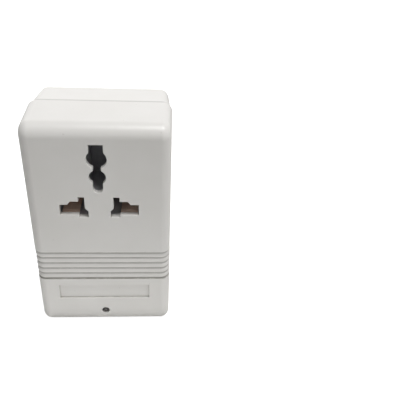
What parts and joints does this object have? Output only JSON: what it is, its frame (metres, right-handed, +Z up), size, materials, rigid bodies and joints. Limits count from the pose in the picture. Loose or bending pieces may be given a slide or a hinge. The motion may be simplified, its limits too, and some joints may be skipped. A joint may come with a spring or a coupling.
{
  "type": "travel voltage converter",
  "caption": "Plug-in travel voltage converter: moulded two-part box with a universal socket, two flat plug blades and a sliding voltage selector.",
  "frame": {"origin": "centre of the flat lower end that the converter stands on, midway between the socket face and the back", "axes": "+X to the right seen from the socket face, +Y out of the back along the plug blades, +Z up along the box"},
  "size_m": [0.0534, 0.059, 0.091],
  "materials": {
    "casing_plastic": "satin moulded ABS, warm white",
    "insert_plastic": "satin moulded ABS, warm white",
    "plated_blade": "bright nickel plate",
    "knob_plastic": "moulded black nylon",
    "spring_bronze": "phosphor bronze strip",
    "switch_phenolic": "brown phenolic",
    "tinned_brass": "tinned",
    "zinc_sheet": "zinc-plated sheet",
    "screw_steel": "zinc-plated steel",
    "carrier_plastic": "moulded grey thermoplastic",
    "contact_brass": "bare rolled brass, tarnished to a pale brown",
    "core_steel": "varnished silicon steel plates",
    "bobbin_nylon": "natural nylon",
    "winding_copper": "enamelled copper wire",
    "winding_tape": "polyester film tape",
    "fuse_body": "moulded body",
    "board_laminate": "paper-phenolic laminate",
    "lamp_resin": "smoked epoxy resin, unlit",
    "resistor_coat": "lacquered film resistor",
    "diode_epoxy": "moulded epoxy",
    "sticker_film": "coated paper label, bare",
    "wire_red": "PVC insulation",
    "wire_black": "PVC insulation",
    "wire_yellow": "PVC insulation",
    "wire_blue": "PVC insulation"
  },
  "bodies": {
    "housing": {"front_casing": "casing_plastic", "rear_casing": "casing_plastic", "plug_insert": "insert_plastic", "live_blade": "plated_blade", "neutral_blade": "plated_blade", "case_screws": "screw_steel", "contact_carrier": "carrier_plastic", "contact_cover": "carrier_plastic", "live_contact": "contact_brass", "neutral_contact": "contact_brass", "round_sticker": "sticker_film", "switch_body": "switch_phenolic", "switch_terminals": "tinned_brass", "switch_frame": "zinc_sheet", "cover_screws": "screw_steel", "core_e_stack": "core_steel", "core_i_stack": "core_steel", "core_strap": "zinc_sheet", "bobbin": "bobbin_nylon", "bobbin_pins": "tinned_brass", "primary_winding": "winding_copper", "winding_tape": "winding_tape", "secondary_winding": "winding_copper", "thermal_fuse": "fuse_body", "led_board": "board_laminate", "indicator_lamp": "lamp_resin", "led_resistor": "resistor_coat", "led_diode": "diode_epoxy", "live_input_lead": "wire_red", "common_lead": "wire_black", "low_tap_lead": "wire_yellow", "high_tap_lead": "wire_blue", "live_output_lead": "wire_red", "neutral_output_lead": "wire_black", "lamp_lead_plus": "wire_red", "lamp_lead_minus": "wire_black"},
    "selector": {"selector_knob": "knob_plastic", "selector_contact": "spring_bronze"}
  },
  "joints": [
    {"name": "selector_slide", "type": "slide", "parent": "housing", "child": "selector", "axis": [-1, 0, 0], "range_m": [0, 0.0035]}
  ]
}
